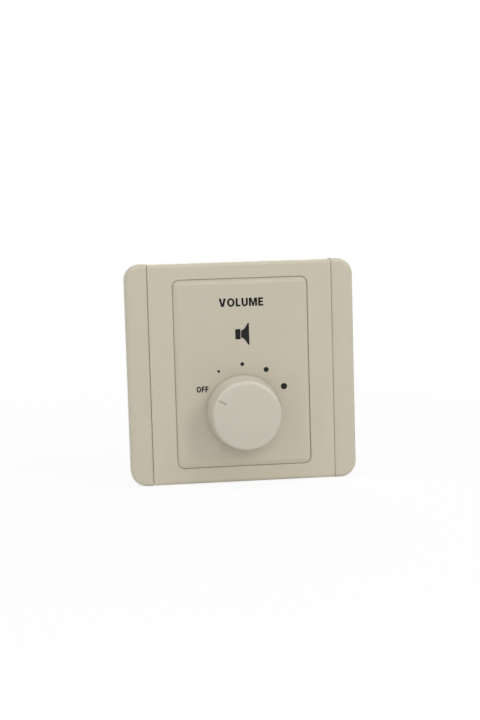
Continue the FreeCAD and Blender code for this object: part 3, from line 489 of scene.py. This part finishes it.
def make_knob():
    """The knob: a turned cap with a pointer groove, and a hub inside."""
    shell = Shell()
    rows = [shell.ring(knob_ring(r, y)) for r, y in knob_outline()]
    middle = shell.ring([(0, KNOB_FRONT, DIAL_Z)])[0]
    count = len(rows[0])
    for k in range(count):
        shell.faces.append((middle, rows[0][k], rows[0][(k + 1) % count]))
    for a, b in zip(rows, rows[1:]):
        shell.join(a, b)
    roof = KNOB_FRONT + KNOB_ROOF
    inside = rounded([
        (KNOB_RADIUS - KNOB_WALL, KNOB_BASE, 0), (KNOB_RIM - KNOB_WALL, roof, 1.0),
        (HUB_RADIUS, roof, 0.3), (HUB_RADIUS, HUB_END, 0.2), (SHAFT_BORE, HUB_END, 0.2),
        (SHAFT_BORE, roof, 0), (0.01, roof, 0),
    ], steps=4)
    hollow = shell.tube([circle_ring(r, y, steps=96) for r, y in inside])
    shell.plate(rows[-1], [hollow[0]])
    piece = add_piece("knob_cap", shell.points, shell.faces, "dial",
                      finishes["knob_plastic"], 40)
    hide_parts("knob")


make_knob()


# ---------------------------------------------------------------- centre plate

# The rim's sides are insets from the plate's edge; the ends of rim and boss are depths
PLATE_HALF_X, PLATE_HALF_Z, PLATE_CORNER = 25.0, 35.0, 2.5
PLATE_BEVEL, PLATE_DROP = 1.8, 0.8
PLATE_BACK = -6.0
RIM_IN, RIM_OUT, RIM_END = 3.0, 1.5, -4.5
BOSS_OUTER, BOSS_INNER, BOSS_END = 10.88, 8.88, -3.4
DIAL_HOLE = 5.0
RIB_X, RIB_HALF, RIB_REACH = 13.0, 0.6, 32.2


def make_centre_plate():
    """The plate in the window, with a wide soft bevel, and a rim, ribs and a boss behind."""
    side = rounded([
        (RIM_IN, FACE_Y, 0), (PLATE_BEVEL, FACE_Y, 0.9), (0.0, FACE_Y + PLATE_DROP, 0.22),
        (0.0, PLATE_BACK, 0.1), (RIM_OUT, PLATE_BACK, 0), (RIM_OUT, RIM_END, 0.1),
        (RIM_IN, RIM_END, 0.1), (RIM_IN, PLATE_BACK, 0),
    ], steps=5)
    shell = Shell()
    rows = shell.tube([
        frame_ring(PLATE_HALF_X - d, PLATE_HALF_Z - d, max(PLATE_CORNER - d, 0.3), y)
        for d, y in side
    ])
    boss = rounded([
        (BOSS_OUTER, PLATE_BACK, 0), (BOSS_OUTER, BOSS_END, 0.15), (BOSS_INNER, BOSS_END, 0.15),
        (BOSS_INNER, PLATE_BACK, 0), (DIAL_HOLE, PLATE_BACK, 0), (DIAL_HOLE, FACE_Y, 0),
    ], steps=3)
    hub = shell.tube([circle_ring(r, y) for r, y in boss])
    shell.plate(rows[0], [hub[-1]])
    shell.plate(rows[-1], [hub[0]])
    for x in (-RIB_X, RIB_X):
        shell.box((x - RIB_HALF, PLATE_BACK - 0.2, -RIB_REACH), (x + RIB_HALF, RIM_END, RIB_REACH))
    piece = add_piece("centre_plate_face", shell.points, shell.faces, "base",
                      finishes["insert_plastic"], 50)
    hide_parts("centre_plate")


make_centre_plate()


# ---------------------------------------------------------------- transformer

# The tape's sheet makes a step where its end lies; its crown and ripple are depths
TURN_RISE = 0.12
TUBE_HALF_X, TUBE_HALF_Z, TUBE_CORNER = 5.95, 6.95, 0.8
WINDING_ROUND = 2.0
TAPE_THICKNESS = 0.3
TAPE_SHEET = 0.06
TAPE_END_X = 4.2
TAPE_CROWN = 0.16
TAPE_RIPPLE = 0.03
TAPE_ROWS = 16


def coil_box(name):
    """A coil piece's half width, half height, middle height, front and back, in millimetres."""
    low, high = (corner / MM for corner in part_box(name))
    return high.x, (high.z - low.z) / 2, (high.z + low.z) / 2, low.y, high.y


def coil_piece(name, replaced, slot, rings, bore):
    """A closed coil piece from its outer rings and the two rings of its bore."""
    shell = Shell()
    rows = shell.tube(rings)
    ends = shell.tube(bore)
    shell.plate(rows[0], [ends[0]])
    shell.plate(rows[-1], [ends[1]])
    piece = add_piece(name, shell.points, shell.faces, "base", finishes[slot])
    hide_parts(replaced)


def make_winding():
    """The copper turns side by side round the bobbin's tube, under the tape."""
    half_x, half_z, middle, front, back = coil_box("winding")
    turns = round((back - front) / TURN_PITCH)
    rings = []
    for k in range(4 * turns + 1):
        inset = TURN_RISE * (1 + math.cos(math.pi * k / 2)) / 2
        y = front + (back - front) * k / (4 * turns)
        corner = WINDING_ROUND - inset
        rings.append(frame_ring(half_x - inset, half_z - inset, corner, y, 6, middle))
    bore = [frame_ring(TUBE_HALF_X, TUBE_HALF_Z, TUBE_CORNER, y, 6, middle) for y in (front, back)]
    coil_piece("winding_turns", "winding", "copper", rings, bore)


def make_tape():
    """The tape round the winding, crowned between the flanges, its end lying over the last turn."""
    half_x, half_z, middle, front, back = coil_box("winding_tape")
    corner = WINDING_ROUND + TAPE_THICKNESS
    rings = []
    for k in range(TAPE_ROWS + 1):
        t = k / TAPE_ROWS
        sink = TAPE_CROWN * (2 * t - 1) ** 4 + TAPE_RIPPLE * (1 + math.sin(23 * t))
        end_x = TAPE_END_X + 0.25 * math.sin(9 * t)
        y = front + (back - front) * t
        ring = frame_ring(half_x - sink, half_z - sink, corner - sink, y, 12, middle)
        rings.append([(x, y, z - TAPE_SHEET if z > middle and x >= end_x else z)
                      for x, y, z in ring])
    inner_x, inner_z = half_x - TAPE_THICKNESS, half_z - TAPE_THICKNESS
    bore = [frame_ring(inner_x, inner_z, WINDING_ROUND, y, 6, middle) for y in (front, back)]
    coil_piece("tape_wrap", "winding_tape", "tape", rings, bore)


make_winding()
make_tape()


# ---------------------------------------------------------------- thin layers

def thin_layer(name, outlines, foot, face, material):
    """A thin layer between two depths, from outlines of (x, z) points, each with its holes."""
    shell = Shell()
    for loops in outlines:
        tops = []
        for loop in loops:
            top = shell.ring([(x, face, z) for x, z in loop])
            shell.join(top, shell.ring([(x, foot, z) for x, z in loop]))
            tops.append(top)
        shell.plate(tops[0], tops[1:])
    add_piece(name, shell.points, shell.faces, "base", material)


def oval(x, z, radius_x, radius_z, steps=40):
    """A round or oval outline."""
    turns = [2 * math.pi * k / steps for k in range(steps)]
    return [(x + radius_x * math.cos(t), z + radius_z * math.sin(t)) for t in turns]


# ---------------------------------------------------------------- circuit board

BOARD_BACK = 12.6
TRACK_HEIGHT = 0.04
PIN_CIRCLE = 11.0
LEAD_ROW_Z = -1.1
TERMINAL_Z = -16.35
TRACK_WIDTH, NARROW_TRACK = 1.2, 0.9
# Outer and inner radius of the tin round a wire and round a pin
LEAD_RING, PIN_RING = (1.0, 0.62), (1.12, 0.88)
RING_RISE = 0.02


def track(points, width):
    """The outline of a copper track of a width along a line of points."""
    left, right = [], []
    line = [Vector(p) for p in points]
    for k, p in enumerate(line):
        before = (p - line[k - 1]).normalized() if k else (line[1] - p).normalized()
        after = (line[k + 1] - p).normalized() if k < len(line) - 1 else before
        side = Vector((-before.y - after.y, before.x + after.x)).normalized()
        reach = width / 2 / side.dot(Vector((-before.y, before.x)))
        left.append(tuple(p + side * reach))
        right.append(tuple(p - side * reach))
    return [left + right[::-1]]


def pin_place(angle):
    """Where a switch pin comes through the board."""
    turn = math.radians(angle)
    return PIN_CIRCLE * math.cos(turn), DIAL_Z + PIN_CIRCLE * math.sin(turn)


def hole_ring(place, outer, bore):
    """The outlines of a ring of tin round a hole."""
    return [oval(*place, outer, outer), oval(*place, bore, bore)]


def make_board_layers():
    """Raised tracks under the board's resist, and a tinned ring round each wire and pin."""
    taps = ((-4, 120), (0, 90), (4, 60))
    tracks = [track([(x, LEAD_ROW_Z), pin_place(angle)], TRACK_WIDTH) for x, angle in taps]
    tracks += [
        track([(8, LEAD_ROW_Z), pin_place(30), (11.4, -11.4), (11.4, -14.4), (9.3, TERMINAL_Z)],
              TRACK_WIDTH),
        track([(-8, LEAD_ROW_Z), (-12.6, -5.7), (-12.6, -17.8), (-10.05, -20.35)], NARROW_TRACK),
        track([pin_place(180), (-9.2, TERMINAL_Z)], TRACK_WIDTH),
    ]
    face = BOARD_BACK + TRACK_HEIGHT
    thin_layer("board_tracks", tracks, BOARD_BACK, face, finishes["track_green"])
    rings = [hole_ring((x, LEAD_ROW_Z), *LEAD_RING) for x in (-8, -4, 0, 4, 8)]
    rings += [hole_ring(pin_place(angle), *PIN_RING) for angle in (180, 150, 120, 90, 60, 30)]
    thin_layer("board_rings", rings, BOARD_BACK, face + RING_RISE, finishes["solder"])


make_board_layers()


# ---------------------------------------------------------------- printed marks

INK_HEIGHT = 0.02
# A letter's bars as a share of its stems, and the gap between letters as a share of their height
BAR_SHARE = 0.78
LETTER_GAP = 0.13
SPEAKER_X, SPEAKER_Z = 0.3, 14.4
MARK_RADIUS = 17.75
# Each dot's angle and radius
DOTS = {120: 0.52, 90: 0.72, 60: 0.96, 30: 1.18}


def flat_print(name, outlines):
    """Thin ink on the plate's face."""
    thin_layer(name, outlines, FACE_Y, FACE_Y - INK_HEIGHT, finishes["ink"])


def half_round(radius_x, radius_z, steps=16):
    """The lower half of the letter U, from left to right."""
    turns = [math.pi * k / steps for k in range(steps + 1)]
    return [(0.42 - radius_x * math.cos(t), 0.40 - radius_z * math.sin(t)) for t in turns]


def letter(kind, t):
    """A plain capital one unit high, as its outlines, and its width; its stems are t wide."""
    bar = t * BAR_SHARE
    if kind == "V":
        return [[(0, 1), (t * 1.15, 1), (0.48, 0.34), (0.96 - t * 1.15, 1), (0.96, 1),
                 (0.48 + t * 0.58, 0), (0.48 - t * 0.58, 0)]], 0.96
    if kind == "O":
        return [oval(0.50, 0.5, 0.50, 0.515), oval(0.50, 0.5, 0.50 - t, 0.515 - bar)], 1.0
    if kind == "L":
        return [[(0, 1), (t, 1), (t, bar), (0.64, bar), (0.64, 0), (0, 0)]], 0.64
    if kind == "U":
        low, high = half_round(0.42, 0.415), half_round(0.42 - t, 0.415 - bar)
        return [[(0, 1), *low, (0.84, 1), (0.84 - t, 1), *high[::-1], (t, 1)]], 0.84
    if kind == "M":
        return [[(0, 0), (0, 1), (t * 1.3, 1), (0.54, 0.38), (1.08 - t * 1.3, 1), (1.08, 1),
                 (1.08, 0), (1.08 - t, 0), (1.08 - t, 0.62), (0.54 + t * 0.36, 0),
                 (0.54 - t * 0.36, 0), (t, 0.62), (t, 0)]], 1.08
    middle = 0.5 + bar / 2
    top = [(0, 0), (0, 1), (0.67, 1), (0.67, 1 - bar), (t, 1 - bar), (t, middle), (0.62, middle),
           (0.62, middle - bar), (t, middle - bar)]
    if kind == "F":
        return [[*top, (t, 0)]], 0.65
    return [[*top, (t, bar), (0.69, bar), (0.69, 0)]], 0.69


def moved(loops, x, z, scale_x=1.0, scale_z=1.0):
    """Outlines scaled and then moved."""
    return [[(x + a * scale_x, z + b * scale_z) for a, b in loop] for loop in loops]


def printed_word(name, word, centre_x, centre_z, width, height, stroke):
    """A plain word in capitals as thin ink, of a given width, capital height and stroke."""
    outlines = []
    pen = 0.0
    for kind in word:
        loops, wide = letter(kind, stroke / height)
        outlines.append(moved(loops, pen, -0.5))
        pen += wide + LETTER_GAP
    scale = width / (pen - LETTER_GAP)
    low = centre_x - width / 2
    flat_print(name, [moved(loops, low, centre_z, scale, height) for loops in outlines])


printed_word("mark_volume", "VOLUME", 0.2, 26.2, 16.6, 3.1, 0.84)
printed_word("mark_off", "OFF", -15.1, -5.6, 4.4, 2.2, 0.62)

driver = rounded([(-2.6, 1.9, 0.35), (-0.65, 1.9, 0.15), (-0.65, -1.9, 0.15), (-2.6, -1.9, 0.35)],
                 closed=True)
upper_horn = [(-0.45, 1.35), (0.3, 1.55), (1.3, 2.6), (2.15, 4.05), (2.6, 4.05)]
horn = upper_horn + [(x, -z) for x, z in upper_horn[::-1]]
flat_print("mark_speaker", [moved([shape], SPEAKER_X, SPEAKER_Z) for shape in (driver, horn)])

dots = []
for angle, radius in DOTS.items():
    turn = math.radians(angle)
    place = MARK_RADIUS * math.cos(turn), DIAL_Z + MARK_RADIUS * math.sin(turn)
    dots.append([oval(*place, radius, radius)])
flat_print("mark_dots", dots)


# ---------------------------------------------------------------- floor, light and camera

# Metres, for the stage
FLOOR_REACH = 4.0
FLOOR_WHITE = 0.9
FLOOR_GLOW = 0.88
GLOW_NEAR, GLOW_FAR = 0.1, 0.5
WORLD_LIGHT = 0.2
LAMP_DISTANCE = 2.5

# The camera, fitted to the photograph; the focal length and the shift are in its pixels
CAMERA_PITCH, CAMERA_YAW, CAMERA_LEAN = (math.radians(a) for a in (6.08, 6.53, -1.66))
CAMERA_DISTANCE = 0.5364
CAMERA_CLIP = 0.01
SENSOR_WIDTH = 36.0
LONG_SIDE_PIXELS = 720
FOCAL_PIXELS = 1425.5
SHIFT_PIXELS = 10.6


def make_floor():
    """A pale floor that looks white, and keeps a faint shadow near the part."""
    mesh = bpy.data.meshes.new("floor")
    corners = [(x * FLOOR_REACH, y * FLOOR_REACH, FLOOR_Z * MM)
               for x, y in ((-1, -1), (1, -1), (1, 1), (-1, 1))]
    mesh.from_pydata(corners, [], [(0, 1, 2, 3)])
    floor = bpy.data.objects.new("floor", mesh)
    bpy.context.scene.collection.objects.link(floor)
    material = bpy.data.materials.new("floor")
    material.use_nodes = True
    tree = material.node_tree
    tree.nodes.clear()
    white = (FLOOR_WHITE, FLOOR_WHITE, FLOOR_WHITE, 1)
    diffuse = add_node(tree, "ShaderNodeBsdfDiffuse", {"Color": white})
    glow = add_node(tree, "ShaderNodeEmission", {"Strength": 1.0})
    place = add_node(tree, "ShaderNodeTexCoord").outputs["Object"]
    away = add_node(tree, "ShaderNodeVectorMath", {0: place}, operation="LENGTH")
    fade = add_node(tree, "ShaderNodeMapRange", {
        "Value": away.outputs["Value"], "From Min": GLOW_NEAR, "From Max": GLOW_FAR,
        "To Min": FLOOR_GLOW, "To Max": 1.0,
    })
    share = seen_directly(tree, fade.outputs["Result"])
    shaders = {0: share, 1: diffuse.outputs[0], 2: glow.outputs[0]}
    mixed = add_node(tree, "ShaderNodeMixShader", shaders)
    add_node(tree, "ShaderNodeOutputMaterial", {"Surface": mixed.outputs[0]})
    mesh.materials.append(material)


def seen_directly(tree, amount):
    """An amount (a socket) for camera, glossy and transmission rays, and 0 for the others."""
    path = add_node(tree, "ShaderNodeLightPath")
    total = path.outputs["Is Camera Ray"]
    for key in ("Is Glossy Ray", "Is Transmission Ray"):
        both = {0: total, 1: path.outputs[key]}
        total = add_node(tree, "ShaderNodeMath", both, operation="MAXIMUM").outputs[0]
    return add_node(tree, "ShaderNodeMath", {0: total, 1: amount}, operation="MULTIPLY").outputs[0]


def make_world():
    """A white surround that gives soft light."""
    world = bpy.data.worlds.new("surround")
    bpy.context.scene.world = world
    world.use_nodes = True
    tree = world.node_tree
    background = tree.nodes["Background"]
    background.inputs["Color"].default_value = (1, 1, 1, 1)
    full = add_node(tree, "ShaderNodeValue").outputs[0]
    full.default_value = 1.0
    strength = add_node(tree, "ShaderNodeMapRange", {
        "Value": seen_directly(tree, full), "To Min": WORLD_LIGHT, "To Max": 1.0,
    })
    tree.links.new(strength.outputs["Result"], background.inputs["Strength"])


def add_lamp(name, direction, width, height, power):
    """A soft lamp that looks at the part from a direction, with its width along the horizon."""
    data = bpy.data.lights.new(name, "AREA")
    data.shape = "RECTANGLE"
    data.size = width
    data.size_y = height
    data.energy = power
    lamp = bpy.data.objects.new(name, data)
    back = Vector(direction).normalized()
    across = Vector((0, 0, 1)).cross(back).normalized()
    turn = Matrix((across, back.cross(across), back)).transposed()
    lamp.matrix_world = Matrix.Translation(back * LAMP_DISTANCE) @ turn.to_4x4()
    lamp.visible_camera = False
    bpy.context.scene.collection.objects.link(lamp)


def make_camera():
    """The photograph's viewpoint: a little left of and above the part, leaning slightly."""
    data = bpy.data.cameras.new("camera")
    data.sensor_width = SENSOR_WIDTH
    data.lens = FOCAL_PIXELS * SENSOR_WIDTH / LONG_SIDE_PIXELS
    data.shift_y = SHIFT_PIXELS / LONG_SIDE_PIXELS
    data.clip_start = CAMERA_CLIP
    flat = math.cos(CAMERA_PITCH)
    side = -math.sin(CAMERA_YAW) * flat
    back = Vector((side, -math.cos(CAMERA_YAW) * flat, math.sin(CAMERA_PITCH)))
    level = (-back).cross(Vector((0, 0, 1))).normalized()
    upward = level.cross(-back)
    right = math.cos(CAMERA_LEAN) * level + math.sin(CAMERA_LEAN) * upward
    up = math.cos(CAMERA_LEAN) * upward - math.sin(CAMERA_LEAN) * level
    camera = bpy.data.objects.new("camera", data)
    turn = Matrix((right, up, back)).transposed()
    camera.matrix_world = Matrix.Translation(back * CAMERA_DISTANCE) @ turn.to_4x4()
    bpy.context.scene.collection.objects.link(camera)
    bpy.context.scene.camera = camera


make_floor()
make_world()
add_lamp("grazing_left", (-0.3, -0.03, 1.0), 0.6, 0.1, 13.0)
add_lamp("grazing_right", (0.3, -0.03, 1.0), 0.6, 0.1, 10.0)
add_lamp("key", (0.8, -1.0, 0.55), 0.7, 0.7, 8.3)
add_lamp("front", (-0.1, -1.0, 0.45), 0.5, 0.5, 4.4)
add_lamp("front_high", (0.0, -1.0, 0.6), 0.9, 0.9, 3.8)
add_lamp("left", (-1.0, -0.6, 0.35), 3.0, 3.0, 24.6)
add_lamp("right", (1.0, -0.6, 0.35), 3.0, 3.0, 7.6)
add_lamp("upper_right", (0.7, -0.6, 0.8), 1.4, 1.4, 12.0)
add_lamp("rear", (0.3, 1.0, 0.5), 2.0, 2.0, 18.0)
make_camera()
bpy.context.scene.view_settings.view_transform = "Standard"
